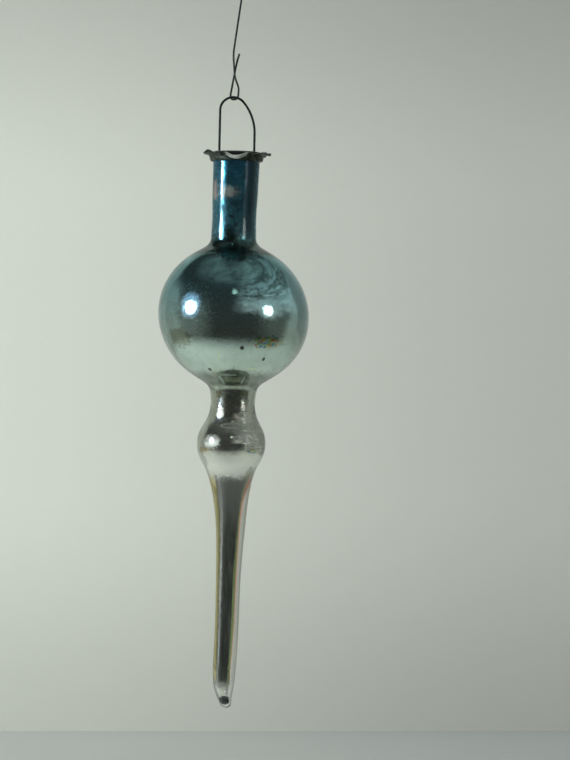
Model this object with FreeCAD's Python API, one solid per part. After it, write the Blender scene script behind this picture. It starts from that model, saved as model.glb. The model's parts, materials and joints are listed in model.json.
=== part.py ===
import FreeCAD, Part
import math
import os

# Hanging icicle ornament: a blown, silvered glass spindle, hung by a wire bail and a bent wire hook.
# Millimetres, +Z up. The origin is the point inside the hook's crook that bears on a branch.
# Seen from the front (-Y), the crook opens to the left (-X).

V = FreeCAD.Vector

# Wires
HOOK_WIRE = 0.5
BAIL_WIRE = 0.6
CONTACT_GAP = 0.05  # running clearance where the bail hangs in the hook's eye

# Hook
CROOK_R = 6.0  # centre-line radius of the crook
CROOK_TOP = HOOK_WIRE / 2  # centre-line height of the crook's top
SHANK_LEAN = 8.5  # degrees, top of the shank leans right
HANG_Z = -57.6  # centre of the bail wire where it hangs in the eye
EYE_TURN = 54.0  # degrees from the front plane to the plane of the eye
EYE_BOTTOM = HANG_Z - (HOOK_WIRE + BAIL_WIRE) / 2 - CONTACT_GAP

# Ornament frame: Z is the glass's axis, z = 0 is the bail's apex, the axis is to the right of the apex
TILT = 1.2  # degrees, the tip swings left of plumb
AXIS_OFFSET = 1.1
LEG_X = 4.4  # bail legs, each side of the axis
CAP_Z = -13.8  # top of the cap's disc

# Cap
SHEET = 0.25
COLLAR_R = 6.15  # inner radius of the collar round the neck
FOLD_Z = -16.3  # lower edge of the collar, where the sheet folds out into the ruffled skirt
RUFFLE_R = 8.3  # mean outer radius of the ruffle
RUFFLE_LIFT = 0.42  # how far the ruffle's rim waves up and down
RUFFLE_REACH = 0.3  # how far it waves in and out
RUFFLES = 9
FRONT_DROOP = 0.95  # how much further the front ruffle's lip is bent down
LEG_HOLE_R = 0.42

# Glass
RIM_Z = CAP_Z - SHEET - 0.05
TIP_Z = -154.2
WALL = 0.6  # of the neck and the ball
BORE_END = -153.1  # below it the tip is solid
BALL_Z = -55.0
BALL_R = 19.05
BALL_HALF_HEIGHT = 18.2

# Silvering
FILM_GAP = 0.02
FILM = 0.1
FILM_END = -150.3
RESIDUE_TOP = -151.0

# Outer radius of the glass at heights in the ornament frame, apart from the ball
NECK = [(5.95, RIM_Z), (5.85, -20.0), (5.74, -26.0), (5.6, -31.0), (5.72, -35.2)]
SHOULDER = [(5.88, -36.4), (6.55, -37.35), (8.25, -38.5)]
THROAT = [(8.55, -71.4), (7.2, -72.25), (6.4, -73.0), (5.93, -74.0)]
WAIST = [(5.65, -75.6), (5.62, -78.2), (6.6, -81.6)]
KNOP = [(8.0, -84.2), (8.62, -87.6), (8.0, -90.7), (6.5, -93.6)]
SPIKE = [(5.37, -96.8), (4.4, -101.8), (3.83, -107.0), (3.45, -113.2), (3.15, -120.5),
         (3.05, -129.0), (3.02, -138.0), (2.84, -146.0), (2.42, -149.4), (1.72, -152.0)]

# Radius of the bore where it isn't just a WALL inside the outline; the drop is thick-walled
BORE_SHOULDER = [(5.27, -36.6), (6.0, -37.75), (7.75, -39.0)]
BORE_FOOT = [(8.0, -71.0), (6.65, -71.85), (5.75, -72.7), (5.2, -73.9), (4.9, -75.6), (4.83, -78.0),
             (4.95, -80.2), (5.75, -82.6), (7.05, -85.0), (7.65, -87.8), (7.05, -90.1), (5.9, -92.5),
             (4.6, -95.0), (3.55, -97.6), (2.85, -100.6), (2.45, -104.2), (2.15, -109.0), (1.98, -115.0),
             (1.88, -121.5), (1.78, -130.0), (1.64, -138.0), (1.45, -145.0), (1.12, -149.0), (0.8, -151.6)]


def ball_points(shrink, first_deg, last_deg, count):
    """Points round the ball, which is a little squat, from one polar angle to another."""
    points = []
    for i in range(count):
        a = math.radians(first_deg + (last_deg - first_deg) * i / (count - 1))
        points.append(((BALL_R - shrink) * math.sin(a), BALL_Z + (BALL_HALF_HEIGHT - shrink) * math.cos(a)))
    return points


def smooth(rows):
    """A smooth curve in the XZ plane through (radius, height) rows, plumb at its top, level at its foot."""
    curve = Part.BSplineCurve()
    curve.interpolate(Points=[V(r, 0, z) for r, z in rows],
                      InitialTangent=V(0, 0, -1), FinalTangent=V(-1, 0, 0))
    return curve


def outline():
    """The glass's outer outline, from the rim down to the tip."""
    ball = ball_points(0, 32, 148, 12)
    return smooth(NECK + SHOULDER + ball + THROAT + WAIST + KNOP + SPIKE + [(0.0, TIP_Z)])


def bore():
    """The outline of the glass's bore, from the rim down to its blind end."""
    neck = [(r - WALL, z) for r, z in NECK]
    ball = ball_points(WALL, 32, 143, 12)
    return smooth(neck + BORE_SHOULDER + ball + BORE_FOOT + [(0.0, BORE_END)])


def at_height(a, b, z):
    """The point at height z on the line through two points."""
    return a + (b - a) * ((z - a.z) / (b.z - a.z))


def inset(curve, depth, top, bottom, count=400):
    """The part of a curve between two heights, moved in by depth; with no bottom, down to its end."""
    points = []
    for i in range(count + 1):
        t = curve.FirstParameter + (curve.LastParameter - curve.FirstParameter) * i / count
        p = curve.value(t)
        d = curve.tangent(t)[0]
        points.append(V(p.x + depth * d.z, 0, p.z - depth * d.x))
    kept = [p for p in points if p.z < top - 0.05 and (bottom is None or p.z > bottom + 0.05)]
    kept.insert(0, at_height(kept[0], kept[1], top))
    if bottom is None:
        kept[-1].x = 0.0
    else:
        kept.append(at_height(kept[-2], kept[-1], bottom))
    side = Part.BSplineCurve()
    side.interpolate(kept)
    return side.toShape()


def lathe(edges):
    """A solid of revolution from edges in the XZ plane, in order; straight lines close the gaps."""
    loop = []
    for edge, following in zip(edges, edges[1:] + edges[:1]):
        loop.append(edge)
        foot, head = edge.lastVertex().Point, following.firstVertex().Point
        if foot.distanceToPoint(head) > 1e-6:
            loop.append(Part.makeLine(foot, head))
    face = Part.Face(Part.Wire(Part.sortEdges(loop)[0]))
    solid = face.revolve(V(0, 0, 0), V(0, 0, 1), 360)
    return Part.makeSolid(solid) if solid.ShapeType != "Solid" else solid


def backwards(curve):
    """The edge of a curve that is drawn from its foot up."""
    curve.reverse()
    return curve.toShape()


def rounded_path(stops):
    """A wire of straight runs joined by tangent arcs, from (point, corner radius) pairs."""
    edges = []
    at = stops[0][0]
    for i in range(1, len(stops) - 1):
        corner, radius = stops[i]
        back = (stops[i - 1][0] - corner).normalize()
        on = (stops[i + 1][0] - corner).normalize()
        half = back.getAngle(on) / 2
        reach = radius / math.tan(half)
        start = corner + back * reach
        end = corner + on * reach
        bisector = (back + on).normalize()
        middle = corner + bisector * (radius / math.sin(half) - radius)
        if at.distanceToPoint(start) > 1e-4:
            edges.append(Part.makeLine(at, start))
        edges.append(Part.Arc(start, middle, end).toShape())
        at = end
    edges.append(Part.makeLine(at, stops[-1][0]))
    return Part.Wire(edges)


def wire_solid(stops, diameter):
    path = rounded_path(stops)
    start = stops[0][0]
    heading = stops[1][0] - start
    section = Part.Wire(Part.makeCircle(diameter / 2, start, heading))
    solid = path.makePipeShell([section], True, False)
    expected = math.pi * diameter ** 2 / 4 * path.Length
    print("wire volume %.3f, section times length %.3f" % (solid.Volume, expected))
    return solid


def place(shape):
    """Moves a shape from the ornament frame to the part's frame: hung from the eye and tilted."""
    placed = shape.copy()
    placed.translate(V(AXIS_OFFSET, 0, 0))
    placed.rotate(V(0, 0, 0), V(0, 1, 0), TILT)
    placed.translate(V(0, 0, HANG_Z))
    return placed


def wire_hook():
    lean = math.tan(math.radians(SHANK_LEAN))
    shoulder_x = CROOK_R * math.tan(math.radians(45 + SHANK_LEAN / 2))
    knee_z = HANG_Z + 10.9
    knee_x = shoulder_x - (CROOK_TOP - knee_z) * lean
    turn = math.radians(EYE_TURN)

    def eye(along, up):
        """A point in the upright plane of the eye, measured from under the bail's apex."""
        return V(along * math.cos(turn), -along * math.sin(turn), EYE_BOTTOM + up)

    return wire_solid([
        (V(-8.3, 0, -13.6), 0),  # free end, flicked outward
        (V(-CROOK_R, 0, -10.4), 2.6),
        (V(-CROOK_R, 0, CROOK_TOP), CROOK_R),
        (V(shoulder_x, 0, CROOK_TOP), CROOK_R),
        (V(knee_x, 0, knee_z), 12.0),
        (V(0.35, -0.72, HANG_Z + 5.0), 5.0),
        (eye(2.3, 2.7), 2.0),
        (eye(2.0, 0), 1.3),
        (eye(-1.75, 0), 1.3),
        (V(0.36, 0.12, HANG_Z + 6.5), 9.0),  # crosses behind the shank
        (V(0.95, 0.18, HANG_Z + 9.2), 6.0),
        (V(1.5, 0.12, HANG_Z + 11.0), 0),  # free tail
    ], HOOK_WIRE)


def bail_wire():
    foot_z = -32.5
    bow_z = -20.5
    grip_z = -15.2
    return place(wire_solid([
        (V(-LEG_X + 0.4, 0, foot_z), 0),
        (V(-LEG_X - 0.2, 0, bow_z), 25.0),
        (V(-LEG_X, 0, grip_z), 20.0),
        (V(-LEG_X, 0, 0), 3.3),
        (V(0.5, 0, 0), 3.3),
        (V(LEG_X, 0, -4.9), 12.0),
        (V(LEG_X, 0, grip_z), 20.0),
        (V(LEG_X + 0.2, 0, bow_z), 25.0),
        (V(LEG_X - 0.4, 0, foot_z), 0),
    ], BAIL_WIRE))


def ruffle_section(turn):
    """A radial slice at an angle about the axis through the skirt that flares out and up in ruffles."""
    front = max(0.0, -math.sin(turn)) ** 6  # 1 at the front, gone a ruffle away
    reach = RUFFLE_R + RUFFLE_REACH * math.cos(RUFFLES * turn) - 0.1 * front
    lift = RUFFLE_LIFT * math.sin(RUFFLES * turn)
    rows = [(COLLAR_R + SHEET + 0.04, FOLD_Z + 0.05),
            (COLLAR_R + 0.62 - 0.12 * front, FOLD_Z + 0.9 + 0.35 * front),
            (COLLAR_R + 1.3 - 0.2 * front, FOLD_Z + 1.45 + 0.35 * lift + 0.35 * front),
            (reach, FOLD_Z + 1.95 + lift - FRONT_DROOP * front)]
    under = Part.BSplineCurve()
    under.interpolate([V(r, 0, z) for r, z in rows])
    lower, upper = [], []
    for i in range(7):
        t = under.FirstParameter + (under.LastParameter - under.FirstParameter) * i / 6
        p = under.value(t)
        d = under.tangent(t)[0]
        q = p + V(-d.z, 0, d.x) * SHEET
        lower.append(V(p.x * math.cos(turn), p.x * math.sin(turn), p.z))
        upper.append(V(q.x * math.cos(turn), q.x * math.sin(turn), q.z))
    below = Part.BSplineCurve()
    below.interpolate(lower)
    above = Part.BSplineCurve()
    above.interpolate(upper[::-1])
    return Part.Wire([below.toShape(), Part.makeLine(lower[-1], upper[-1]),
                      above.toShape(), Part.makeLine(upper[0], lower[0])])


def cap():
    slices = RUFFLES * 8
    sections = [ruffle_section(2 * math.pi * i / slices) for i in range(slices)]
    ruffle = Part.makeLoft(sections + [sections[0]], True, False, False)
    disc = Part.makeCylinder(COLLAR_R + SHEET / 2, SHEET, V(0, 0, CAP_Z - SHEET))
    height = CAP_Z - SHEET / 2 - FOLD_Z
    collar = Part.makeCylinder(COLLAR_R + SHEET, height, V(0, 0, FOLD_Z))
    bore = Part.makeCylinder(COLLAR_R, height, V(0, 0, FOLD_Z - SHEET / 2))
    body = collar.cut(bore).fuse([disc, ruffle])
    for side in (-1, 1):
        body = body.cut(Part.makeCylinder(LEG_HOLE_R, 2, V(side * LEG_X, 0, CAP_Z - 1)))
    return place(body.removeSplitter().Solids[0])


def glass_envelope():
    return place(lathe([outline().toShape(), backwards(bore())]))


def silver_lining():
    outside = inset(bore(), FILM_GAP, RIM_Z, FILM_END)
    inside = inset(bore(), FILM_GAP + FILM, RIM_Z, FILM_END)
    return place(lathe([outside, backwards(inside.Curve)]))


def tip_residue():
    """The crust that fills the blind end of the bore."""
    side = inset(bore(), FILM_GAP, RESIDUE_TOP, None)
    foot = side.lastVertex().Point
    return place(lathe([side, Part.makeLine(foot, V(0, 0, RESIDUE_TOP))]))


def main():
    os.makedirs("parts", exist_ok=True)
    makers = (wire_hook, bail_wire, cap, glass_envelope, silver_lining, tip_residue)
    for maker in makers:
        shape = maker()
        box = shape.BoundBox
        print("%-15s %s valid %s solids %d volume %.2f box %.2f %.2f %.2f .. %.2f %.2f %.2f" % (
            maker.__name__, shape.ShapeType, shape.isValid(), len(shape.Solids), shape.Volume,
            box.XMin, box.YMin, box.ZMin, box.XMax, box.YMax, box.ZMax))
        shape.exportStep("parts/%s.step" % maker.__name__)


main()
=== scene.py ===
import functools
import json
import math

import bpy
import numpy as np
from mathutils import Matrix, Vector


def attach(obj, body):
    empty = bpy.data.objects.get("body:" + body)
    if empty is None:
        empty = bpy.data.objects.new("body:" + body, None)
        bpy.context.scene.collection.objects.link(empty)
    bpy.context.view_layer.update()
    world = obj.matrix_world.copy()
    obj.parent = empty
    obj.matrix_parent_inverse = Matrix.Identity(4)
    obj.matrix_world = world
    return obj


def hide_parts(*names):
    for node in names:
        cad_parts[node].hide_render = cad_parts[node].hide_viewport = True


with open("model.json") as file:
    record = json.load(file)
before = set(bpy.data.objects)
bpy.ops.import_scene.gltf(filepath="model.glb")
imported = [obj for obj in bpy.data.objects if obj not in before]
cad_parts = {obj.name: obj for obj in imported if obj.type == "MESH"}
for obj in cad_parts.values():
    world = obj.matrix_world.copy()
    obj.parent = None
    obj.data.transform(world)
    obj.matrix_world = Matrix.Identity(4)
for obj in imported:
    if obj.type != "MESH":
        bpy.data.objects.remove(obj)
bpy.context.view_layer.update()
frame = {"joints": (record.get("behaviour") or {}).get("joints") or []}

MM = 0.001

# ---------------------------------------------------------------- the frame's own places
JOINTS = {j["name"]: j for j in frame["joints"]}
HANG = Vector(JOINTS["ornament_swing"]["pos_m"])
UP = Vector(JOINTS["bail_slide"]["axis"])
AXIS_OFFSET = 1.1 * MM  # the glass's axis is this far right of the bail's apex
TILT = math.atan2(UP.x, UP.z)
TO_ORNAMENT = (Matrix.Translation(HANG) @ Matrix.Rotation(TILT, 4, "Y")
               @ Matrix.Translation((AXIS_OFFSET, 0, 0)) @ Matrix.Scale(MM, 4))

# ---------------------------------------------------------------- sizes in the ornament frame, mm
CAP_Z = -13.8
RIM_Z = CAP_Z - 0.3  # just under the cap's disc
TIP_Z = -154.2
WALL = 0.6  # of the neck and the bulb; from the waist down the bore has its own outline
BALL_Z = -55.0
BALL_R = 19.05
BALL_HALF_HEIGHT = 18.2
BITE = 0.012  # the film and the crust are set this deep in the glass, so that no air shows between them
FILM = 0.12
FILM_END = -150.3
RESIDUE_TOP = -151.0

NECK = [(5.95, RIM_Z), (5.85, -20.0), (5.74, -26.0), (5.6, -31.0), (5.72, -35.2)]
SHOULDER = [(5.88, -36.4), (6.55, -37.35), (8.25, -38.5)]
THROAT = [(8.55, -71.4), (7.2, -72.25), (6.4, -73.0), (5.93, -74.0)]
WAIST = [(5.65, -75.6), (5.62, -78.2), (6.6, -81.6)]
KNOP = [(8.0, -84.2), (8.62, -87.6), (8.0, -90.7), (6.5, -93.6)]
SPIKE = [(5.37, -96.8), (4.4, -101.8), (3.83, -107.0), (3.45, -113.2), (3.15, -120.5),
         (3.05, -129.0), (3.02, -138.0), (2.84, -146.0), (2.42, -149.4), (1.72, -152.0)]

BORE_SHOULDER = [(5.27, -36.6), (6.0, -37.75), (7.75, -39.0)]
BORE_FOOT = [(8.0, -71.0), (6.65, -71.85), (5.75, -72.7), (5.2, -73.9), (4.9, -75.6), (4.83, -78.0),
             (4.95, -80.2), (5.75, -82.6), (7.05, -85.0), (7.65, -87.8), (7.05, -90.1), (5.9, -92.5),
             (4.6, -95.0), (3.55, -97.6), (2.85, -100.6), (2.45, -104.2), (2.15, -109.0), (1.98, -115.0),
             (1.88, -121.5), (1.78, -130.0), (1.64, -138.0), (1.45, -145.0), (1.12, -149.0), (0.8, -151.6)]
BORE_END = -153.1

# How far the hand-drawn glass strays sideways from a straight axis, as (height, right, back)
STRAY = [(-14.0, 0.05, 0.0), (-26.0, -0.2, 0.05), (-36.0, -0.34, 0.08), (-55.0, 0.05, 0.0),
         (-66.0, 0.36, -0.06), (-77.0, 0.36, -0.08), (-88.0, 0.16, 0.0), (-97.0, 0.22, 0.1),
         (-107.0, 0.4, 0.16), (-119.0, 0.14, 0.12), (-137.0, -0.12, 0.02), (-146.0, -0.46, -0.1),
         (-150.0, -0.42, -0.14), (-152.4, -0.1, -0.1), (-154.4, 0.35, -0.05)]

# How far its bore lies off the middle of the glass, as (height, right)
OFF_CENTRE = [(-14.0, 0.0), (-70.0, 0.0), (-82.0, 0.0), (-88.0, -0.1), (-92.0, -0.22), (-96.0, -0.38),
              (-101.0, -0.52), (-107.0, -0.58), (-117.0, -0.46), (-137.0, -0.45), (-145.0, -0.45),
              (-150.0, -0.2), (-154.4, 0.1)]


# ---------------------------------------------------------------- small curve tools
def spline(knots, values, where):
    """A smooth cubic through values at rising knots, read at where; the ends run straight."""
    x = np.asarray(knots, float)
    y = np.asarray(values, float)
    n = len(x)
    h = np.diff(x)
    a = np.zeros((n, n))
    b = np.zeros((n,) + y.shape[1:])
    a[0, 0] = a[-1, -1] = 1
    for i in range(1, n - 1):
        a[i, i - 1:i + 2] = h[i - 1], 2 * (h[i - 1] + h[i]), h[i]
        b[i] = 6 * ((y[i + 1] - y[i]) / h[i] - (y[i] - y[i - 1]) / h[i - 1])
    m = np.linalg.solve(a, b)
    w = np.asarray(where, float)
    i = np.clip(np.searchsorted(x, w) - 1, 0, n - 2)
    shape = (-1,) + (1,) * (y.ndim - 1)
    hi = h[i].reshape(shape)
    u = (w - x[i]).reshape(shape)
    v = (x[i + 1] - w).reshape(shape)
    return ((m[i] * v ** 3 + m[i + 1] * u ** 3) / (6 * hi)
            + (y[i] / hi - m[i] * hi / 6) * v + (y[i + 1] / hi - m[i + 1] * hi / 6) * u)


def through(points, count):
    """count points along a smooth curve through points."""
    p = np.asarray(points, float)
    along = np.concatenate([[0], np.cumsum(np.linalg.norm(np.diff(p, axis=0), axis=1))])
    return spline(along, p, np.linspace(0, along[-1], count))


def ball_rows(shrink, first, last, count):
    """Rows round the bulb, which is a little squat, from one polar angle to another."""
    return [((BALL_R - shrink) * math.sin(a), BALL_Z + (BALL_HALF_HEIGHT - shrink) * math.cos(a))
            for a in np.radians(np.linspace(first, last, count))]


def outline(count):
    """The glass's outer outline as (radius, height) rows, from the rim down to the tip."""
    rows = (NECK + SHOULDER + ball_rows(0, 32, 148, 12) + THROAT + WAIST + KNOP + SPIKE
            + [(0.9, TIP_Z + 0.35), (0.0, TIP_Z)])
    return through(rows, count)


def bore(count):
    """The bore's outline as (radius, height) rows, from the rim down to its blind end."""
    neck = [(r - WALL, z) for r, z in NECK]
    rows = (neck + BORE_SHOULDER + ball_rows(WALL, 32, 143, 12) + BORE_FOOT
            + [(0.5, BORE_END + 0.22), (0.0, BORE_END)])
    return through(rows, count)


def inset(rows, depth):
    """Rows moved in by depth, square to the outline."""
    d = np.gradient(rows, axis=0)
    d /= np.linalg.norm(d, axis=1)[:, None]
    return rows + depth * np.stack([d[:, 1], -d[:, 0]], axis=1)


def stray(z):
    """Sideways shift of the glass's centre line at heights z."""
    table = np.array(STRAY)[::-1]
    return spline(table[:, 0], table[:, 1:], z)


def bore_stray(z):
    """Sideways shift of the bore's centre line at heights z."""
    table = np.array(OFF_CENTRE)[::-1]
    shift = stray(z)
    shift[:, 0] += np.interp(z, table[:, 0], table[:, 1])
    return shift


# ---------------------------------------------------------------- mesh tools
def mesh_piece(name, verts, faces, body, node):
    """A piece from vertices in the part's frame that rides on a body and stands for a CAD node."""
    mesh = bpy.data.meshes.new(name)
    mesh.from_pydata([tuple(v) for v in verts], [], faces)
    mesh.validate()
    mesh.polygons.foreach_set("use_smooth", [True] * len(mesh.polygons))
    piece = bpy.data.objects.new(name, mesh)
    bpy.context.scene.collection.objects.link(piece)
    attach(piece, body)
    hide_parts(node)
    return piece


def placed(points):
    """Points in the ornament frame, in mm, as places in the part's frame."""
    p = np.asarray(points, float)
    m = np.array(TO_ORNAMENT)
    return p @ m[:3, :3].T + m[:3, 3]


def lathe(rows, shift, sides, wobble, closed=False):
    """Vertices and faces of a solid of revolution whose rings are shifted sideways. Rows on the axis close
    to one point; closed joins the last ring to the first."""
    verts, rings = [], []
    for (r, z), (sx, sy) in zip(rows, shift):
        rings.append([])
        for k in range(1 if r < 1e-4 else sides):
            a = 2 * math.pi * k / sides
            rr = r * (1 + wobble(a, z))
            rings[-1].append(len(verts))
            verts.append((rr * math.cos(a) + sx, rr * math.sin(a) + sy, z))
    faces = []
    for above, below in zip(rings, rings[1:] + (rings[:1] if closed else [])):
        for k in range(sides):
            j = (k + 1) % sides
            if len(above) == 1 and len(below) > 1:
                faces.append((above[0], below[k], below[j]))
            elif len(below) == 1 and len(above) > 1:
                faces.append((above[k], below[0], above[j]))
            elif len(above) > 1:
                faces.append((above[k], below[k], below[j], above[j]))
    return verts, faces


def blown(a, z):
    """Slight out-of-roundness of hand-blown glass."""
    return 0.0035 * math.sin(2 * a + 0.05 * z) + 0.0015 * math.sin(3 * a - 0.11 * z + 1.0)


# ---------------------------------------------------------------- node tools
class Nodes:
    """Short calls for building a node tree. A value is a number, a colour, a vector or a node's socket."""

    def __init__(self, tree):
        self.tree = tree
        tree.nodes.clear()

    def add(self, kind, **settings):
        node = self.tree.nodes.new(kind)
        for key, value in settings.items():
            setattr(node, key, value)
        return node

    def feed(self, socket, value):
        """Joins a socket to another, or sets it to a value; a colour may leave out its alpha."""
        if isinstance(value, bpy.types.NodeSocket):
            self.tree.links.new(value, socket)
        elif value is not None:
            bare_colour = socket.type == "RGBA" and len(value) == 3
            socket.default_value = (*value, 1) if bare_colour else value

    def math(self, operation, a, b=None):
        node = self.add("ShaderNodeMath", operation=operation)
        self.feed(node.inputs[0], a)
        self.feed(node.inputs[1], b)
        return node.outputs[0]

    def plus(self, a, b):
        return self.math("ADD", a, b)

    def minus(self, a, b):
        return self.math("SUBTRACT", a, b)

    def times(self, *values):
        return functools.reduce(lambda a, b: self.math("MULTIPLY", a, b), values)

    def most(self, *values):
        """The largest of values."""
        return functools.reduce(lambda a, b: self.math("MAXIMUM", a, b), values)

    def size_of(self, value):
        return self.math("ABSOLUTE", value)

    def vector(self, operation, a, b=None):
        node = self.add("ShaderNodeVectorMath", operation=operation)
        self.feed(node.inputs[0], a)
        self.feed(node.inputs[1], b)
        return node.outputs["Value" if operation in ("DOT_PRODUCT", "LENGTH", "DISTANCE") else 0]

    def split(self, vector):
        """The three coordinates of a vector."""
        node = self.add("ShaderNodeSeparateXYZ")
        self.feed(node.inputs[0], vector)
        return node.outputs

    def stretched(self, vector, scale, rotation=(0, 0, 0)):
        """A vector scaled and then turned, for noise that is drawn out one way."""
        node = self.add("ShaderNodeMapping")
        self.feed(node.inputs["Vector"], vector)
        node.inputs["Rotation"].default_value = rotation
        node.inputs["Scale"].default_value = scale
        return node.outputs[0]

    def ramp(self, value, low, high, out_low=0.0, out_high=1.0):
        """A smooth step of value from low to high."""
        node = self.add("ShaderNodeMapRange", interpolation_type="SMOOTHSTEP")
        self.feed(node.inputs["Value"], value)
        for key, number in zip(("From Min", "From Max", "To Min", "To Max"), (low, high, out_low, out_high)):
            self.feed(node.inputs[key], number)
        return node.outputs[0]

    def noise(self, vector, scale, detail=2.0, roughness=0.5, distortion=0.0):
        node = self.add("ShaderNodeTexNoise")
        self.feed(node.inputs["Vector"], vector)
        node.inputs["Scale"].default_value = scale
        node.inputs["Detail"].default_value = detail
        node.inputs["Roughness"].default_value = roughness
        node.inputs["Distortion"].default_value = distortion
        return node.outputs[0]

    def swing(self, noise, reach):
        """Noise moved to lie about 0 and scaled by reach."""
        return self.times(self.minus(noise, 0.5), reach)

    def mix(self, factor, a, b):
        node = self.add("ShaderNodeMix", data_type="RGBA")
        self.feed(node.inputs["Factor"], factor)
        self.feed(node.inputs["A"], a)
        self.feed(node.inputs["B"], b)
        return node.outputs["Result"]

    def colours(self, value, stops):
        """A colour ramp from (position, colour) stops."""
        node = self.add("ShaderNodeValToRGB")
        self.feed(node.inputs[0], value)
        while len(node.color_ramp.elements) < len(stops):
            node.color_ramp.elements.new(0.5)
        for element, (position, colour) in zip(node.color_ramp.elements, stops):
            element.position = position
            element.color = (*colour, 1)
        return node.outputs[0]

    def bump(self, shader, height, strength, distance):
        """Gives a shader's surface relief from height, distance in mm."""
        node = self.add("ShaderNodeBump")
        node.inputs["Strength"].default_value = strength
        node.inputs["Distance"].default_value = distance * MM
        self.feed(node.inputs["Height"], height)
        self.feed(shader.inputs["Normal"], node.outputs[0])


def material(name, colour):
    """A material with a Principled shader, and its node tools."""
    mat = bpy.data.materials.new(name)
    mat.use_nodes = True
    mat.diffuse_color = (*colour, 1)
    n = Nodes(mat.node_tree)
    shader = n.add("ShaderNodeBsdfPrincipled")
    n.feed(shader.inputs["Base Color"], colour)
    out = n.add("ShaderNodeOutputMaterial")
    n.feed(out.inputs["Surface"], shader.outputs[0])
    return mat, n, shader


def place_of(n):
    """Position in the ornament frame, in mm: x right, y back, z up along the glass's axis."""
    coords = n.add("ShaderNodeTexCoord")
    mapping = n.add("ShaderNodeMapping", vector_type="TEXTURE")
    n.feed(mapping.inputs["Vector"], coords.outputs["Object"])
    mapping.inputs["Location"].default_value = TO_ORNAMENT.translation
    mapping.inputs["Rotation"].default_value = (0, TILT, 0)
    mapping.inputs["Scale"].default_value = (MM, MM, MM)
    return mapping.outputs[0]


def spot(n, place, centre, size, fuzz):
    """1 inside an ellipsoid at centre, falling to 0 outside it, with an edge broken up by fuzz."""
    away = n.vector("DIVIDE", n.vector("SUBTRACT", place, centre), size)
    reach = n.plus(n.vector("LENGTH", away), fuzz)
    return n.ramp(reach, 1.15, 0.8)


# ---------------------------------------------------------------- the wires
HOOK_WIRE = 0.5
BAIL_WIRE = 0.6
WIRE_SIDES = 14
ROUTE_STEP = 0.22
CROOK_R = 6.0
CROOK_TOP = HOOK_WIRE / 2
SHANK_LEAN = math.radians(8.5)
EYE_TURN = math.radians(54)
EYE_DROP = (HOOK_WIRE + BAIL_WIRE) / 2 + 0.05
LEG_X = 4.4


def rounded_route(stops):
    """Points along straight runs joined by arcs, from (point, corner radius) stops."""
    route = [Vector(stops[0][0])]
    for (before, _), (corner, radius), (after, _) in zip(stops, stops[1:], stops[2:]):
        corner = Vector(corner)
        back = (Vector(before) - corner).normalized()
        on = (Vector(after) - corner).normalized()
        half = back.angle(on) / 2
        start = corner + back * (radius / math.tan(half))
        centre = corner + (back + on).normalized() * (radius / math.sin(half))
        arm = start - centre
        axis = back.cross(on)
        turn = math.pi - 2 * half
        pieces = max(3, int(radius * turn / ROUTE_STEP))
        for i in range(pieces + 1):
            route.append(centre + Matrix.Rotation(-turn * i / pieces, 3, axis) @ arm)
    route.append(Vector(stops[-1][0]))
    filled = [route[0]]
    for a, b in zip(route, route[1:]):
        parts = max(1, int((b - a).length / ROUTE_STEP))
        filled += [a.lerp(b, (i + 1) / parts) for i in range(parts) if (b - a).length > 1e-5]
    return filled


def tube(route, radius):
    """A round wire along a route, slightly uneven, with ends cut by pliers."""
    points = np.array([tuple(p) for p in route])
    heading = np.gradient(points, axis=0)
    heading /= np.linalg.norm(heading, axis=1)[:, None]
    across = np.cross(heading[0], (0.3, 1.0, 0.2))
    verts, rings = [], []
    along = 0.0
    for i, (p, t) in enumerate(zip(points, heading)):
        across -= t * across.dot(t)
        across /= np.linalg.norm(across)
        other = np.cross(t, across)
        along += np.linalg.norm(points[i] - points[max(i - 1, 0)])
        swell = 1 + 0.02 * math.sin(1.9 * along) + 0.015 * math.sin(5.3 * along + 1)
        nip = 0.72 if i in (0, len(points) - 1) else 1.0
        ring = []
        for k in range(WIRE_SIDES):
            a = 2 * math.pi * k / WIRE_SIDES
            pit = 1 + 0.012 * math.sin(3 * a + 7.7 * along)
            reach = radius * swell * pit
            ring.append(len(verts))
            verts.append(p + across * (reach * math.cos(a)) + other * (reach * nip * math.sin(a)))
        rings.append(ring)
    faces = [tuple(reversed(rings[0])), tuple(rings[-1])]
    for one, two in zip(rings, rings[1:]):
        for k in range(WIRE_SIDES):
            j = (k + 1) % WIRE_SIDES
            faces.append((one[k], one[j], two[j], two[k]))
    return verts, faces


def wire_material(name, colour, rust):
    """Dark oxidised iron wire, worn lighter in places and rusty in others."""
    mat, n, shader = material(name, colour)
    place = place_of(n)
    grain = n.noise(place, 2.2, 4.0, 0.62)
    fine = n.noise(place, 9.0, 3.0, 0.6)
    worn = n.ramp(grain, 0.52, 0.66)
    rusty = n.ramp(n.noise(place, 0.7, 3.0, 0.6), 0.55, 0.7)
    dark = tuple(c * 0.5 for c in colour)
    base = n.mix(n.times(rusty, 0.6), n.mix(worn, dark, colour), rust)
    n.feed(shader.inputs["Base Color"], base)
    shader.inputs["Metallic"].default_value = 0.85
    n.feed(shader.inputs["Roughness"], n.ramp(fine, 0.35, 0.65, 0.34, 0.62))
    n.bump(shader, fine, 0.35, 0.04)
    return mat


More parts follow.
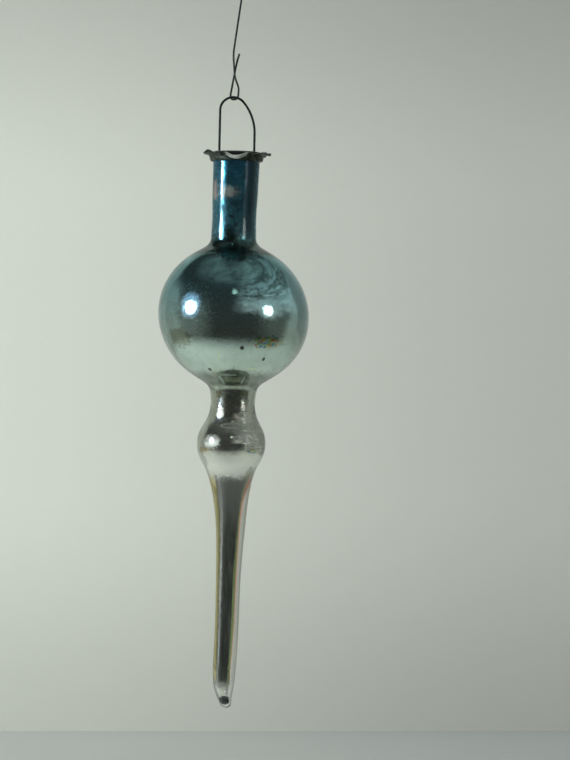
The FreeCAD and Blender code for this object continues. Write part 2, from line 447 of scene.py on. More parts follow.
def make_hook():
    """The wire hook: free end, crook, shank, the eye that holds the bail, and its free tail."""
    hang = HANG.z / MM
    shoulder = CROOK_R * math.tan(math.pi / 4 + SHANK_LEAN / 2)
    knee = hang + 10.9

    def eye(along, up):
        """A point in the upright plane of the eye, measured from under the bail's apex."""
        return (along * math.cos(EYE_TURN), -along * math.sin(EYE_TURN), hang - EYE_DROP + up)

    stops = [
        ((-8.3, 0, -13.6), 0),
        ((-CROOK_R, 0, -10.4), 2.6),
        ((-CROOK_R, 0, CROOK_TOP), CROOK_R),
        ((shoulder, 0, CROOK_TOP), CROOK_R),
        ((shoulder - (CROOK_TOP - knee) * math.tan(SHANK_LEAN), 0, knee), 12.0),
        ((0.35, -0.72, hang + 5.0), 5.0),
        (eye(2.3, 2.7), 2.0),
        (eye(2.0, 0), 1.3),
        (eye(-1.75, 0), 1.3),
        ((0.36, 0.12, hang + 6.5), 9.0),
        ((0.95, 0.18, hang + 9.2), 6.0),
        ((1.5, 0.12, hang + 11.0), 0),
    ]
    verts, faces = tube(rounded_route(stops), HOOK_WIRE / 2)
    hook = mesh_piece("wire_hook_drawn", np.array(verts) * MM, faces, "hook", "wire_hook")
    hook.data.materials.append(wire_material("oxidised_hook_wire", (0.075, 0.085, 0.082), (0.1, 0.06, 0.04)))


def make_bail():
    """The wire bail: a lopsided arch and two legs that run down inside the neck. Below the cap the legs lean
    in, more than the CAD's do, because the blown neck isn't quite straight."""
    foot_z, bow_z, grip_z = -32.5, -20.5, -15.2
    stops = [
        ((-LEG_X + 0.85, 0, foot_z), 0),
        ((-LEG_X + 0.05, 0, bow_z), 25.0),
        ((-LEG_X, 0, grip_z), 20.0),
        ((-LEG_X, 0, 0), 3.3),
        ((0.5, 0, 0), 3.3),
        ((LEG_X, 0, -4.9), 12.0),
        ((LEG_X, 0, grip_z), 20.0),
        ((LEG_X - 0.05, 0, bow_z), 25.0),
        ((LEG_X - 0.85, 0, foot_z), 0),
    ]
    verts, faces = tube(rounded_route(stops), BAIL_WIRE / 2)
    bail = mesh_piece("bail_drawn", placed(verts), faces, "bail", "bail_wire")
    bail.data.materials.append(wire_material("oxidised_bail_wire", (0.06, 0.072, 0.07), (0.07, 0.05, 0.035)))


# ---------------------------------------------------------------- the cap
COLLAR_R = 6.15
FOLD_Z = -16.3
RUFFLE_R = 8.3
RUFFLES = 9
CAP_SIDES = 288
CAP_LEVELS = 74
CAP_SHEET = 0.16


def ruffle(a):
    """How far the skirt's rim lifts and reaches at an angle, in mm, and 1 at the front, falling to 0 further
    round. The hand-crimped lobes are all different."""
    lobe = RUFFLES * a
    uneven = 0.75 + 0.25 * math.sin(2 * a + 0.6)
    lift = 0.42 * uneven * math.sin(lobe) + 0.1 * math.sin(17 * a + 1.2) - 0.08 * math.cos(a)
    reach = 0.24 * math.cos(lobe + 0.3) + 0.1 * math.sin(5 * a + 2.0)
    front = max(0.0, -math.sin(a - 0.03)) ** 6
    return lift, reach, front


def cap_profile(a):
    """(radius, height) rows at an angle: the disc, down the collar, round the fold, out along the skirt."""
    lift, reach, front = ruffle(a)
    dent = 0.05 * math.sin(4 * a + 1.0)
    disc = [(0.01, CAP_Z - 0.12), (2.0, CAP_Z - 0.12), (4.0, CAP_Z - 0.12), (5.6, CAP_Z - 0.13),
            (6.1, CAP_Z - 0.2)]
    collar = [(COLLAR_R + 0.14, CAP_Z - 0.55), (COLLAR_R + 0.15, CAP_Z - 1.4),
              (COLLAR_R + 0.17, FOLD_Z + 0.45)]
    fold = [(COLLAR_R + 0.3, FOLD_Z + 0.12 + dent), (COLLAR_R + 0.46, FOLD_Z + 0.42 + dent)]
    skirt = [(COLLAR_R + 0.62, FOLD_Z + 1.1 + 0.3 * front),
             (COLLAR_R + 1.05, FOLD_Z + 1.78 + 0.3 * lift + 0.3 * front),
             (RUFFLE_R - 0.3 + reach, FOLD_Z + 2.06 + 0.85 * lift - 0.55 * front),
             (RUFFLE_R + 0.1 + reach, FOLD_Z + 2.1 + lift - 1.1 * front)]
    return through(disc + collar + fold + skirt, CAP_LEVELS)


def make_cap():
    """Disc, collar, the fold at its foot and the ruffled skirt, all one thin sheet."""
    verts, faces = [], []
    for k in range(CAP_SIDES):
        a = 2 * math.pi * k / CAP_SIDES
        for r, z in cap_profile(a):
            crimp = 1 + 0.004 * math.sin(23 * a + z)
            verts.append((r * crimp * math.cos(a), r * crimp * math.sin(a), z))
    for k in range(CAP_SIDES):
        here, there = k * CAP_LEVELS, (k + 1) % CAP_SIDES * CAP_LEVELS
        for i in range(CAP_LEVELS - 1):
            faces.append((here + i, here + i + 1, there + i + 1, there + i))
    cap = mesh_piece("cap_ruffled", placed(verts), faces, "cap", "cap")
    solid = cap.modifiers.new("sheet", "SOLIDIFY")
    solid.thickness = CAP_SHEET * MM
    solid.offset = 0
    cap.data.materials.append(cap_material())


def cap_material():
    """Tinplate gone dark and greenish, rubbed pale and given a painted highlight on the lip that is bent
    down in front.
    """
    mat, n, shader = material("tarnished_tinplate", (0.14, 0.15, 0.12))
    place = place_of(n)
    x, y, z = n.split(place)
    blotch = n.noise(place, 0.55, 5.0, 0.62, 0.4)
    fine = n.noise(place, 3.2, 4.0, 0.65)
    mottle = n.plus(n.times(blotch, 0.55), n.times(fine, 0.45))
    base = n.colours(mottle, [(0.42, (0.025, 0.034, 0.03)), (0.52, (0.07, 0.088, 0.07)),
                              (0.6, (0.16, 0.185, 0.15)), (0.68, (0.66, 0.7, 0.62))])

    # the front lip's underside is bare, and paler still by a painted highlight, between its dark edge and
    # the dark collar
    bow = n.plus(z, n.times(x, x, -0.14))
    bare = n.times(n.ramp(bow, -16.1, -15.8), n.ramp(bow, -14.95, -15.25),
                   n.ramp(n.size_of(n.minus(x, 0.1)), 3.6, 2.4), n.ramp(y, -5.5, -6.2))
    base = n.mix(bare, base, (0.4, 0.43, 0.38))

    # dark along the rim, and painted shade on the faces that look up and in
    level_place = n.vector("MULTIPLY", place, (1.0, 1.0, 0.0))
    rim = n.ramp(n.vector("LENGTH", level_place), 7.1, 8.1, 0.25, 0.9)
    shaded_facing = n.vector("SUBTRACT", (0.0, 0.0, 1.0), n.vector("NORMALIZE", level_place))
    inner = n.vector("DOT_PRODUCT", n.add("ShaderNodeTexCoord").outputs["Normal"], shaded_facing)
    dark = n.times(n.most(rim, n.ramp(inner, 0.15, 0.5, 0.0, 0.7)), n.minus(1.0, bare))
    base = n.mix(dark, base, (0.02, 0.024, 0.02))

    n.feed(shader.inputs["Base Color"], base)
    n.feed(shader.inputs["Metallic"], n.minus(0.8, n.times(bare, 0.7)))
    n.feed(shader.inputs["Roughness"], n.ramp(fine, 0.35, 0.65, 0.2, 0.5))
    n.bump(shader, n.plus(blotch, n.times(fine, 0.6)), 0.8, 0.14)
    return mat


# ---------------------------------------------------------------- the glass
SIDES = 112
ROWS = 300
LACQUER_FOOT = -95.0
LACQUER_HEAD = -15.0
# Tint of the lacquer, as (share of the way from its foot to its head, colour)
LACQUER = [(0.0, (0.96, 0.98, 0.93)), (0.22, (0.93, 0.965, 0.89)), (0.3, (0.79, 0.94, 0.83)),
           (0.45, (0.7, 0.91, 0.89)), (0.58, (0.45, 0.83, 0.92)), (0.7, (0.3, 0.72, 0.79)),
           (0.77, (0.16, 0.54, 0.69)), (1.0, (0.06, 0.36, 0.58))]
# Where the lacquer is chipped in the neck, as (centre, half sizes)
CHIPS = [((-1.6, -5.6, -24.3), (2.6, 3.0, 1.5)), ((-5.3, -2.3, -23.6), (1.4, 2.0, 2.6)),
         ((3.9, 4.2, -29.0), (1.6, 2.4, 1.8))]


def make_glass():
    """The blown glass, one closed shell: up the bore, over the rounded lip and down the outside."""
    outer, inner = outline(ROWS), bore(ROWS)
    lip = [(inner[0, 0] + 0.04, RIM_Z - 0.14), (inner[0, 0] + 0.17, RIM_Z - 0.03),
           (outer[0, 0] - 0.3, RIM_Z),
           (outer[0, 0] - 0.17, RIM_Z - 0.03), (outer[0, 0] - 0.04, RIM_Z - 0.14)]
    inner = inner[inner[:, 1] < RIM_Z - 0.3][::-1]
    outer = np.vstack([lip, outer[outer[:, 1] < RIM_Z - 0.3]])
    shift = np.vstack([bore_stray(inner[:, 1]), stray(outer[:, 1])])
    verts, faces = lathe(np.vstack([inner, outer]), shift, SIDES, blown)
    glass = mesh_piece("glass_blown", placed(verts), faces, "glass", "glass_envelope")
    glass.data.materials.append(glass_material())


def glass_material():
    """Clear glass under a blue lacquer that is deepest on the neck and fades out down the bulb."""
    mat, n, shader = material("lacquered_glass", (0.8, 0.9, 0.9))
    place = place_of(n)
    height = n.plus(n.split(place)[2], n.swing(n.noise(place, 0.09, 3.0, 0.55), 7.0))
    share = n.ramp(height, LACQUER_FOOT, LACQUER_HEAD)
    share.node.interpolation_type = "LINEAR"
    tint = n.colours(share, LACQUER)
    broken = n.swing(n.noise(place, 1.1, 4.0, 0.65), 2.6)
    for centre, size in CHIPS:
        tint = n.mix(spot(n, place, centre, size, broken), tint, (0.72, 0.8, 0.8))
    n.feed(shader.inputs["Base Color"], tint)
    n.feed(shader.inputs["Roughness"], n.ramp(n.noise(place, 0.6, 4.0, 0.6), 0.52, 0.72, 0.0, 0.04))
    shader.inputs["Transmission Weight"].default_value = 1.0
    shader.inputs["IOR"].default_value = 1.5
    n.bump(shader, n.noise(place, 0.3, 2.0, 0.5), 0.2, 0.02)
    return mat


# ---------------------------------------------------------------- the silver
# Places on the film are a bearing in degrees, 0 in front and positive to the right, and a height.
# Bands of painted shade, where the silver is painted dark, under the neck and where the bulb meets the
# waist: height, half height, depth
SHADE_BANDS = [(-38.0, 4.0, 0.85), (-71.5, 3.2, 0.66)]
# Old marks: place, half sizes, colour or None for a rainbow, depth, ragged at the edge, broken in shards
MARKS = [((-50.0, -61.0), (13.0, 2.3), (0.34, 0.31, 0.16), 0.6, True, False),
         ((31.0, -61.7), (15.0, 1.6), None, 1.0, True, True),
         ((8.0, -63.3), (1.9, 0.5), (0.02, 0.02, 0.02), 0.9, False, False),
         ((31.0, -65.9), (1.7, 0.45), (0.02, 0.02, 0.02), 0.9, False, False),
         ((-29.0, -68.6), (2.2, 0.4), (0.02, 0.02, 0.02), 0.9, False, False),
         ((-13.0, -64.9), (0.6, 1.1), (0.95, 0.9, 0.35), 0.6, False, False),
         ((22.0, -68.2), (8.0, 0.16), (0.95, 0.9, 0.4), 0.5, False, False),
         # the dark patch at the foot of the neck is painted shade
         ((0.0, -33.2), (20.0, 5.4), (0.12, 0.115, 0.06), 0.8, True, False),
         ((-43.0, -75.0), (12.0, 0.9), (0.45, 0.4, 0.2), 0.7, True, True),
         ((34.0, -74.8), (12.0, 0.7), (0.45, 0.4, 0.2), 0.7, True, True),
         ((-58.0, -89.0), (15.0, 0.6), (0.62, 0.48, 0.18), 0.8, True, True),
         ((44.0, -89.0), (13.0, 0.5), None, 0.7, True, True),
         ((4.0, -78.2), (34.0, 4.0), (0.42, 0.33, 0.24), 0.5, True, True)]
RAINBOW = [(0.38, (0.03, 0.2, 0.55)), (0.46, (0.06, 0.5, 0.14)),
           (0.54, (0.85, 0.7, 0.1)), (0.62, (0.6, 0.04, 0.12))]
# Painted highlights, as pale glints under the neck, above the waist and on the right of the waist and the
# knop: place, half sizes
PAINTED_GLINTS = [((-2.0, -37.6), (1.5, 0.3)), ((-21.0, -71.1), (3.6, 1.1)), ((18.0, -71.2), (2.6, 1.0)),
          ((-8.0, -69.9), (14.0, 0.16)), ((26.0, -80.2), (9.0, 0.8)), ((31.0, -86.4), (9.0, 0.8))]
# Stripes down the drop, gold, dark, grey and red: left and right bearing, softness, colour, depth
STRIPES = [(-175.0, -52.0, 4.0, (0.75, 0.66, 0.33), 0.95), (-52.0, -45.0, 3.0, (0.12, 0.11, 0.07), 0.9),
           (-45.0, -36.0, 4.0, (0.24, 0.26, 0.22), 0.85), (76.0, 112.0, 4.0, (0.95, 0.42, 0.32), 0.9)]
# Dusty places that blur the window: place, half sizes, roughness
DUSTY = [((-38.0, -86.9), (19.0, 2.0), 0.4), ((-36.0, -79.6), (16.0, 1.6), 0.3)]


def make_film():
    """The mirror film, open at both ends. It carries its own bearing and height for its material."""
    body = bore(ROWS)
    outside, inside = inset(body, -BITE), inset(body, FILM - BITE)
    kept = (body[:, 1] > FILM_END) & (body[:, 1] < RIM_Z - 0.2)
    rows = np.vstack([inside[kept][::-1], outside[kept]])
    verts, faces = lathe(rows, bore_stray(rows[:, 1]), SIDES, blown, closed=True)
    film = mesh_piece("silver_mirror", placed(verts), faces, "glass", "silver_lining")
    around = film.data.attributes.new("around", "FLOAT_VECTOR", "POINT")
    for i, (_, _, z) in enumerate(verts):
        a = 2 * math.pi * (i % SIDES) / SIDES
        around.data[i].vector = (math.cos(a), math.sin(a), z)
    film.data.materials.append(film_material())


class Film:
    """The film's material in the making: its places and noises, and its colour and dullness so far."""

    def __init__(self, n):
        self.n = n
        self.place = place_of(n)
        x, y, self.z = n.split(n.add("ShaderNodeAttribute", attribute_name="around").outputs["Vector"])
        self.turn = n.math("DEGREES", n.math("ARCTAN2", x, n.times(y, -1.0)))
        self.broad = n.noise(self.place, 0.16, 4.0, 0.6, 0.5)
        self.middle = n.noise(self.place, 0.9, 4.0, 0.6)
        self.fine = n.noise(self.place, 5.5, 3.0, 0.6)
        self.jitter = n.swing(self.middle, 3.0)
        self.rough_z = n.plus(self.z, self.jitter)  # height, for edges that wander
        self.rough_turn = n.plus(self.turn, n.swing(self.middle, 22.0))  # bearing, for edges that wander
        self.wild = n.swing(self.middle, 4.5)
        self.base = n.mix(n.ramp(self.z, -69.0, -76.0), (0.84, 0.87, 0.83), (0.87, 0.89, 0.82))
        self.dull = 0.0

    def paint(self, mask, colour):
        """Lays a colour over the film where mask is 1."""
        self.base = self.n.mix(mask, self.base, colour)

    def dim(self, mask):
        """Makes the film a dull coat instead of a mirror where mask is 1."""
        self.dull = self.n.most(self.dull, mask)

    def patch(self, at, size, fuzz=0.0):
        """1 on an oval at a place, falling to 0 past its half sizes; fuzz breaks up its edge."""
        n = self.n
        across = n.math("DIVIDE", n.minus(self.turn, at[0]), size[0])
        rise = n.math("DIVIDE", n.minus(self.z, at[1]), size[1])
        reach = n.plus(n.times(across, across), n.times(rise, rise))
        return n.ramp(n.plus(reach, fuzz), 1.25, 0.6)


def film_ground(film):
    """Mottled silver, painted dark as shade in two bands, with a pale belt and a bare place where the knop
    meets the drop.
    """
    n, z, rough_z = film.n, film.z, film.rough_z
    film.paint(n.ramp(film.broad, 0.42, 0.66, 0.0, 0.45), (0.62, 0.65, 0.58))
    film.paint(n.ramp(film.middle, 0.56, 0.74, 0.0, 0.35), (0.5, 0.5, 0.41))
    # two bands of painted shade
    for centre, half, depth in SHADE_BANDS:
        away = n.size_of(n.minus(rough_z, centre))
        film.paint(n.ramp(away, half, half * 0.3, 0.0, depth), (0.12, 0.13, 0.085))
    belt = n.times(n.ramp(rough_z, -89.2, -90.6), n.ramp(z, -99.0, -95.0, 0.0, 0.95))
    film.paint(belt, (0.99, 1.0, 0.96))
    bare = n.times(n.ramp(rough_z, -92.0, -95.0), n.ramp(rough_z, -104.0, -99.0),
                   n.ramp(film.turn, 46.0, 58.0))
    film.paint(bare, (0.9, 0.92, 0.82))
    film.dim(n.times(bare, 0.8))


def film_marks(film):
    """A brown smudge, rainbow patches, specks, scratches and stains, and a patch of painted shade at the
    foot of the neck.
    """
    n = film.n
    rainbow = n.colours(n.noise(film.place, 1.1, 2.0, 0.5), RAINBOW)
    shard = n.ramp(n.noise(film.place, 1.9, 3.0, 0.7), 0.43, 0.49)
    for at, size, colour, depth, ragged, broken in MARKS:
        mask = n.times(film.patch(at, size, film.wild if ragged else 0.0), depth)
        if broken:
            mask = n.times(mask, shard)
        film.paint(mask, colour or rainbow)


def film_neck(film):
    """In the neck the film is dull and worn; on the right it is painted dark as shade, but for one thin
    bright line; and two flakes of it are gone."""
    n = film.n
    neck = n.ramp(film.rough_z, -38.0, -33.0)
    worn = n.times(neck, n.ramp(n.noise(film.place, 0.35, 4.0, 0.65, 0.8), 0.4, 0.6, 0.35, 0.95))
    film.paint(worn, (0.42, 0.42, 0.4))
    line = n.times(n.ramp(n.size_of(n.minus(film.turn, 27.0)), 2.2, 1.0),
                   n.ramp(film.middle, 0.42, 0.6, 0.0, 0.6))
    # the right flank is painted dark as shade, except along the thin line
    shaded_flank = n.times(neck, n.ramp(film.turn, 16.0, 24.0), n.ramp(film.turn, 75.0, 55.0), n.minus(1.0, line))
    film.paint(shaded_flank, (0.17, 0.17, 0.17))
    film.dim(n.times(n.most(worn, shaded_flank), 0.75))
    flakes = [((-12.0, -24.3), (13.0, 1.4), film.wild, (0.8, 0.76, 0.66)),
              ((-64.0, -23.7), (7.0, 2.6), n.times(film.wild, 0.5), (0.95, 0.72, 0.62))]
    for at, size, fuzz, colour in flakes:
        flake = film.patch(at, size, fuzz)
        film.paint(flake, colour)
        film.dim(flake)


def film_painted_glints(film):
    """Painted highlights as pale glints, and a painted reflection as a pale ring between the waist and the
    knop.
    """
    n = film.n
    reflection_ring_at = (-1.0, -83.1)
    ring = n.times(film.patch(reflection_ring_at, (27.0, 0.8)), n.minus(1.0, film.patch(reflection_ring_at, (21.0, 0.35))), 0.5)
    painted_glints = n.most(ring, *(film.patch(at, size) for at, size in PAINTED_GLINTS))
    film.paint(painted_glints, (0.95, 1.0, 0.93))
    film.dim(painted_glints)


def film_drop(film):
    """The drop's stripes, a green one that widens downwards, and its dull middle, painted dark as shade,
    greyer at the top.
    """
    n, turn = film.n, film.rough_turn
    drop = n.times(n.ramp(film.rough_z, -94.5, -97.0), n.ramp(film.rough_z, -148.6, -146.4))
    for low, high, soft, colour, depth in STRIPES:
        between = n.times(n.ramp(turn, low - soft, low + soft), n.ramp(turn, high + soft, high - soft))
        stripe = n.times(between, drop, depth)
        film.paint(stripe, colour)
    green_edge = n.minus(turn, n.ramp(film.z, -100.0, -122.0, 16.0, 0.0))
    green = n.times(n.ramp(green_edge, 46.0, 56.0), n.ramp(turn, 80.0, 72.0), drop, 0.9)
    film.paint(green, (0.46, 0.62, 0.24))
    # the middle is painted dark as shade, greyer at the top, and made dull
    middle = n.times(n.ramp(turn, -54.0, -48.0), n.ramp(green_edge, 56.0, 46.0), drop, 0.78)
    runs = n.ramp(n.noise(n.stretched(film.place, (1.4, 1.4, 0.1)), 1.0, 4.0, 0.65, 0.6), 0.42, 0.6)
    dark = n.mix(runs, (0.035, 0.04, 0.032), (0.13, 0.14, 0.12))
    film.paint(n.times(n.ramp(turn, -40.0, -28.0), middle, 1.2),
               n.mix(n.ramp(film.rough_z, -99.0, -112.0), (0.32, 0.33, 0.31), dark))
    film.dim(middle)
    film.dim(n.times(n.ramp(film.turn, -92.0, -104.0), drop))  # the gold is dull round the back


def film_peeled(film):
    """Pale strokes where the silver has peeled, right of the waist and the knop. Gives their folds."""
    n, z = film.n, film.z
    strokes = n.noise(n.stretched(film.place, (0.3, 0.3, 1.5), (0.0, 0.25, 0.0)), 1.0, 3.0, 0.6, 1.6)
    side = n.times(n.ramp(film.turn, 12.0, 34.0), n.ramp(film.turn, 125.0, 95.0))
    belts = n.most(n.times(n.ramp(z, -87.6, -86.6), n.ramp(z, -83.6, -84.6)),
                   n.times(n.ramp(z, -82.3, -81.6), n.ramp(z, -79.4, -80.2)))
    peeled = n.times(side, belts, n.ramp(strokes, 0.46, 0.54))
    film.paint(peeled, (0.88, 0.89, 0.8))
    film.dim(n.times(peeled, 0.3))
    return n.times(strokes, side, n.ramp(z, -91.0, -88.0), n.ramp(z, -76.0, -79.0))


def film_veils(film):
    """Thin milky veils on the waist, the knop and the drop's top, and the faded lower end."""
    n, z, rough_z = film.n, film.z, film.rough_z
    film.dim(n.times(n.ramp(z, -72.5, -75.0), n.ramp(z, -93.0, -89.0, 0.0, 0.03)))
    film.dim(n.times(n.ramp(z, -92.0, -96.0), n.ramp(rough_z, -107.0, -99.0, 0.0, 0.2)))
    film.dim(n.times(n.ramp(rough_z, -79.6, -82.0), n.ramp(rough_z, -85.4, -83.0, 0.0, 0.1)))
    slant = n.minus(rough_z, n.times(n.size_of(film.turn), 0.03))
    film.dim(n.ramp(slant, -144.0, -149.0))


def film_material():
    """Aged silver: a mirror with haze, mottling and specks, dull in the neck, with a striped drop, painted
    shade and painted highlights.
    """
    mat, n, shader = material("aged_silver", (0.85, 0.87, 0.82))
    film = Film(n)
    film_ground(film)
    film_marks(film)
    film_neck(film)
    film_painted_glints(film)
    film_drop(film)
    folds = film_peeled(film)
    film_veils(film)
    film.paint(n.ramp(film.fine, 0.69, 0.74, 0.0, 0.7), (0.1, 0.1, 0.08))
    n.feed(shader.inputs["Base Color"], film.base)
    n.feed(shader.inputs["Metallic"], n.minus(1.0, film.dull))
    haze = n.ramp(film.fine, 0.48, 0.72, 0.03, 0.3)
    for at, size, rough in DUSTY:
        haze = n.most(haze, n.times(film.patch(at, size, n.times(film.wild, 0.5)), rough))
    n.feed(shader.inputs["Roughness"], n.most(haze, n.times(film.dull, 0.5)))
    n.feed(shader.inputs["Alpha"], n.ramp(n.plus(film.z, n.times(film.jitter, 0.8)), -150.1, -146.0))
    ripple = n.plus(n.times(film.broad, 0.25), n.times(film.fine, 0.012))
    n.bump(shader, n.plus(ripple, n.times(folds, 0.5)), 1.0, 0.2)
    return mat


# ---------------------------------------------------------------- the residue
CRUST_SIDES = 48
CRUST_ROWS = 900


def make_residue():
    """The crust in the blind end of the bore, with a rounded, tilted top."""
    body = inset(bore(CRUST_ROWS), -BITE)
    side = body[(body[:, 1] < RESIDUE_TOP - 0.25) & (body[:, 0] > 0.1)]
    rim = side[0, 0]
    dome = [(rim * math.sin(a), RESIDUE_TOP - 0.3 + 0.42 * math.cos(a))
            for a in np.radians((0, 20, 40, 60, 76))]
    rows = np.vstack([dome, side, [(0.0, BORE_END - BITE)]])
    verts, faces = lathe(rows, bore_stray(rows[:, 1]), CRUST_SIDES, lambda a, z: 0.0)
    for v, (x, y, z) in enumerate(verts):
        if z > RESIDUE_TOP - 0.45:
            verts[v] = x, y, z + 0.22 * (x + 0.3) + 0.05 * math.sin(7.0 * x) * math.cos(6.0 * y)
    crust = mesh_piece("residue_crust", placed(verts), faces, "glass", "tip_residue")
    crust.data.materials.append(crust_material())


def crust_material():
    """A dark, grainy crust."""
    mat, n, shader = material("dried_crust", (0.03, 0.032, 0.035))
    grain = n.noise(place_of(n), 3.0, 4.0, 0.6)
    base = n.mix(n.ramp(grain, 0.4, 0.7), (0.012, 0.013, 0.018), (0.07, 0.07, 0.075))
    n.feed(shader.inputs["Base Color"], base)
    n.feed(shader.inputs["Roughness"], n.ramp(grain, 0.3, 0.7, 0.35, 0.8))
    return mat


# ---------------------------------------------------------------- the studio
CAMERA_AT = Vector((13.0, 0.0, -129.0)) * MM
CAMERA_DISTANCE = 0.8
VIEW_HEIGHT = 191.9 * MM  # height of the view at the ornament
SENSOR = 36
FLOOR_Z = -0.273
WALL_Y = 0.5
STAGE_REACH = 3
TABLE_AT = (0.0, 0.165)  # middle of the round table that the silver mirrors
TABLE_R = 0.305
BOARD = (-0.58, 1.0)  # left and right edges of what it mirrors of the wall
# What glows in the mirrored room: azimuth, elevation, half width, half height, all in degrees, softness,
# colour. Each of the two windows has a wide faint glow round it; the last is a lamp.
GLOWS = [(-72, 12, 16, 15, 0.9, (0.4, 0.52, 0.75)), (-71, 9.5, 7.8, 7.6, 0.6, (26, 27, 29)),
         (57, 10, 15, 14, 0.9, (0.34, 0.37, 0.37)), (57, 8, 7.5, 7.5, 0.6, (3.4, 3.5, 3.4)),
         (4, 39, 3, 3.2, 0.8, (0.8, 0.95, 0.8))]


def one_sided(name, colour, shade):
    """Matte paint on the side that faces the ornament; the other side lets the camera look through. shade
    takes the node tools and the position and gives how dark the paint is and how much of it is gone."""
    mat, n, shader = material(name, colour)
    coords = n.add("ShaderNodeTexCoord").outputs["Object"]
    lost, gone = shade(n, *n.split(coords))
    lost = n.plus(n.times(n.noise(coords, 160.0, 3.0), 0.015), lost)
    n.feed(shader.inputs["Base Color"], n.mix(lost, colour, (0.0, 0.0, 0.0)))
    shader.inputs["Roughness"].default_value = 0.85
    shader.inputs["Specular IOR Level"].default_value = 0.2
    clear = n.add("ShaderNodeBsdfTransparent")
    blend = n.add("ShaderNodeMixShader")
    n.feed(blend.inputs[0], n.most(n.add("ShaderNodeNewGeometry").outputs["Backfacing"], gone))
    n.feed(blend.inputs[1], shader.outputs[0])
    n.feed(blend.inputs[2], clear.outputs[0])
    n.feed(mat.node_tree.nodes["Material Output"].inputs["Surface"], blend.outputs[0])
    return mat


def wall_shade(n, x, y, z):
    """Light falls off to the right, and a little towards the top and the floor."""
    lit = n.times(n.ramp(x, 0.14, -0.12, 0.76, 1.0), n.ramp(z, 0.05, -0.06, 0.74, 1.0),
                  n.ramp(z, -0.28, -0.17, 0.76, 1.0))
    return n.minus(1.0, lit), 0.0


def board_shade(n, x, y, z):
    """Bright behind the ornament, dimmer to the sides."""
    return n.ramp(n.size_of(x), 0.12, 0.4, 0.1, 0.45), 0.0


def floor_shade(n, x, y, z):
    """A little darker on the right."""
    return n.ramp(x, -0.1, 0.14, 0.0, 0.14), 0.0


def table_shade(n, x, y, z):
    """A round table that fades out past its edge."""
    place = n.add("ShaderNodeCombineXYZ")
    n.feed(place.inputs[0], x)
    n.feed(place.inputs[1], y)
    away = n.vector("DISTANCE", place.outputs[0], (*TABLE_AT, 0.0))
    return 0.0, n.ramp(away, TABLE_R * 0.72, TABLE_R * 1.25)


def plane(name, corners, mat, mirrored):
    """A stage plane. One that is mirrored is seen only in the ornament, the others only by the camera."""
    mesh = bpy.data.meshes.new(name)
    mesh.from_pydata(corners, [], [(0, 1, 2, 3)])
    piece = bpy.data.objects.new(name, mesh)
    bpy.context.scene.collection.objects.link(piece)
    piece.data.materials.append(mat)
    piece.visible_camera = not mirrored
    piece.visible_diffuse = not mirrored
    piece.visible_shadow = not mirrored
    piece.visible_glossy = mirrored
    piece.visible_transmission = mirrored


def level(left, right, front, back):
    """Corners of a rectangle on the floor, face up."""
    return [(left, front, FLOOR_Z), (right, front, FLOOR_Z), (right, back, FLOOR_Z), (left, back, FLOOR_Z)]


def upright(left, right, top):
    """Corners of a rectangle that stands on the floor at the wall's place and faces the camera."""
    return [(left, WALL_Y, FLOOR_Z), (right, WALL_Y, FLOOR_Z), (right, WALL_Y, top), (left, WALL_Y, top)]


def bearing(azimuth, elevation):
    """A direction from the bulb: azimuth 0 is the camera's side, positive to the right."""
    a, e = math.radians(azimuth), math.radians(elevation)
    return Vector((math.sin(a) * math.cos(e), -math.cos(a) * math.cos(e), math.sin(e)))


def lamp(name, azimuth, elevation, distance, size, power, colour):
    """A soft lamp at a bearing from the bulb, which neither the glass nor the silver shows."""
    way = bearing(azimuth, elevation)
    data = bpy.data.lights.new(name, "AREA")
    data.shape = "RECTANGLE"
    data.size, data.size_y = size
    data.energy = power
    data.color = colour
    light = bpy.data.objects.new(name, data)
    light.location = Vector(placed([(0, 0, BALL_Z)])[0]) + way * distance
    light.rotation_mode = "QUATERNION"
    light.rotation_quaternion = way.to_track_quat("Z", "Y")
    light.visible_glossy = False
    light.visible_transmission = False
    bpy.context.scene.collection.objects.link(light)


def glow(n, way, azimuth, elevation, half_width, half_height, soft):
    """1 in an oval of sky round a bearing, fading out over the part of its size that soft names."""
    front = bearing(azimuth, elevation)
    side = Vector((math.cos(math.radians(azimuth)), math.sin(math.radians(azimuth)), 0))
    up = side.cross(front) * -1
    across = n.math("DIVIDE", n.vector("DOT_PRODUCT", way, side), math.sin(math.radians(half_width)))
    rise = n.math("DIVIDE", n.vector("DOT_PRODUCT", way, up), math.sin(math.radians(half_height)))
    reach = n.plus(n.math("POWER", n.size_of(across), 2.6), n.math("POWER", n.size_of(rise), 2.6))
    ahead = n.math("GREATER_THAN", n.vector("DOT_PRODUCT", way, front), 0.0)
    return n.times(n.ramp(reach, 1.0 + soft, 1.0 - soft), ahead)


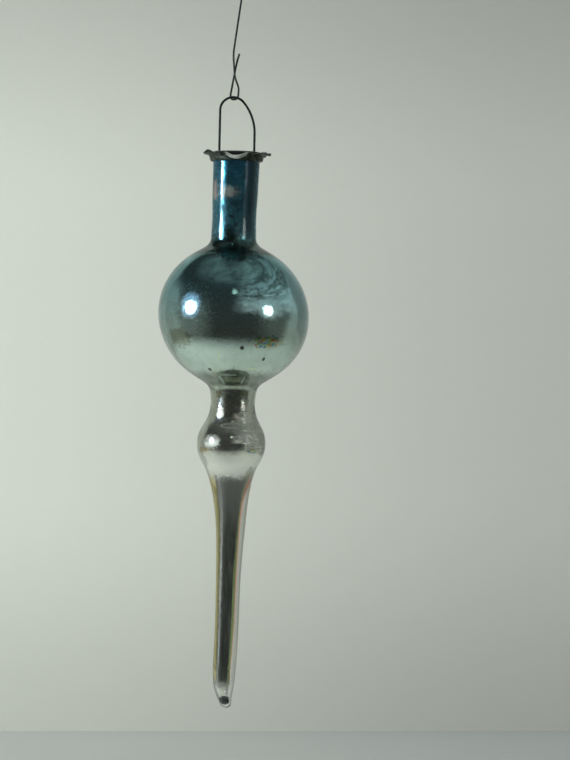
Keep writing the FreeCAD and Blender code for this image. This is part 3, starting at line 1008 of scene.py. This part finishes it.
def make_world():
    """What the silver mirrors: a dim room towards the camera, paler behind and overhead, two windows, a lamp
    and a pale feathery mass up and right. The camera itself sees a plain pale backdrop."""
    world = bpy.data.worlds.new("studio")
    world.use_nodes = True
    bpy.context.scene.world = world
    n = Nodes(world.node_tree)
    way = n.add("ShaderNodeTexCoord").outputs["Generated"]
    x, y, z = n.split(way)
    cloud = n.noise(way, 2.6, 3.0, 0.6, 0.6)
    fronds = n.stretched(way, (2.2, 3.5, 24.0), (0.5, -0.6, 0.3))
    fronds = n.ramp(n.noise(fronds, 1.0, 4.0, 0.62, 0.7), 0.47, 0.58)
    feathered = n.most(n.times(fronds, n.ramp(z, 0.9, 0.5, 0.3, 1.0)), n.ramp(z, 0.52, 0.34, 0.0, 0.5))
    ragged = n.swing(cloud, 0.7)
    plume = n.times(n.ramp(n.plus(x, ragged), 0.0, 0.5), n.ramp(n.plus(z, ragged), 0.02, 0.26), feathered)
    overhead = n.times(n.ramp(z, 0.7, 0.96), n.ramp(cloud, 0.36, 0.6, 0.25, 1.0), 0.8)

    room = (0.034, 0.036, 0.034)
    for mask, colour in ((n.times(n.ramp(x, -0.45, -1.0), n.ramp(z, 0.5, 0.1)), (0.14, 0.145, 0.13)),
                         (n.ramp(x, 0.5, 1.0), (0.09, 0.095, 0.085)),
                         (n.times(n.ramp(z, 0.0, -0.15), n.ramp(y, -0.1, 0.3)), (0.3, 0.31, 0.28)),
                         (n.times(n.ramp(y, 0.0, 0.3), n.ramp(z, 0.6, 0.3)), (0.26, 0.275, 0.25)),
                         (overhead, (0.2, 0.21, 0.2)),
                         (plume, (0.5, 0.52, 0.51)),
                         (n.ramp(y, 0.6, 0.95), (0.36, 0.37, 0.35))):
        room = n.mix(mask, room, colour)
    for azimuth, elevation, wide, high, soft, colour in GLOWS:
        room = n.mix(glow(n, way, azimuth, elevation, wide, high, soft), room, colour)
    seen = n.mix(n.add("ShaderNodeLightPath").outputs["Is Camera Ray"], room, (0.56, 0.59, 0.54))
    sky = n.add("ShaderNodeBackground")
    n.feed(sky.inputs["Color"], seen)
    out = n.add("ShaderNodeOutputWorld")
    n.feed(out.inputs["Surface"], sky.outputs[0])


def make_camera():
    """A level camera on the photograph's side."""
    data = bpy.data.cameras.new("camera")
    data.sensor_width = SENSOR
    data.lens = SENSOR * CAMERA_DISTANCE / VIEW_HEIGHT
    data.clip_start = 0.01
    camera = bpy.data.objects.new("camera", data)
    camera.location = CAMERA_AT + Vector((0, -CAMERA_DISTANCE, 0))
    camera.rotation_euler = (math.pi / 2, 0, 0)
    bpy.context.scene.collection.objects.link(camera)
    bpy.context.scene.camera = camera


def make_studio():
    """A plain pale wall and floor, what the ornament mirrors, the lamps and the camera."""
    wall = one_sided("wall_paint", (0.85, 0.872, 0.77), wall_shade)
    board = one_sided("board_paint", (0.7, 0.705, 0.65), board_shade)
    floor = one_sided("floor_paint", (0.8, 0.83, 0.8), floor_shade)
    table = one_sided("table_top", (0.95, 0.97, 0.93), table_shade)
    plane("floor", level(-STAGE_REACH, STAGE_REACH, -STAGE_REACH, WALL_Y), floor, False)
    plane("wall", upright(-STAGE_REACH, STAGE_REACH, 2), wall, False)
    plane("mirrored_table", level(-0.4, 0.4, -0.3, WALL_Y), table, True)
    plane("mirrored_board", upright(*BOARD, 0.35), board, True)
    make_world()
    lamp("window_light", -62, 8, 0.8, (0.4, 0.45), 4.5, (0.97, 0.99, 1.0))
    lamp("fill_light", 30, 40, 1.3, (0.6, 0.6), 1.1, (1.0, 0.99, 0.96))
    make_camera()
    bpy.context.scene.view_settings.view_transform = "Standard"


make_hook()
make_bail()
make_cap()
make_glass()
make_film()
make_residue()
make_studio()
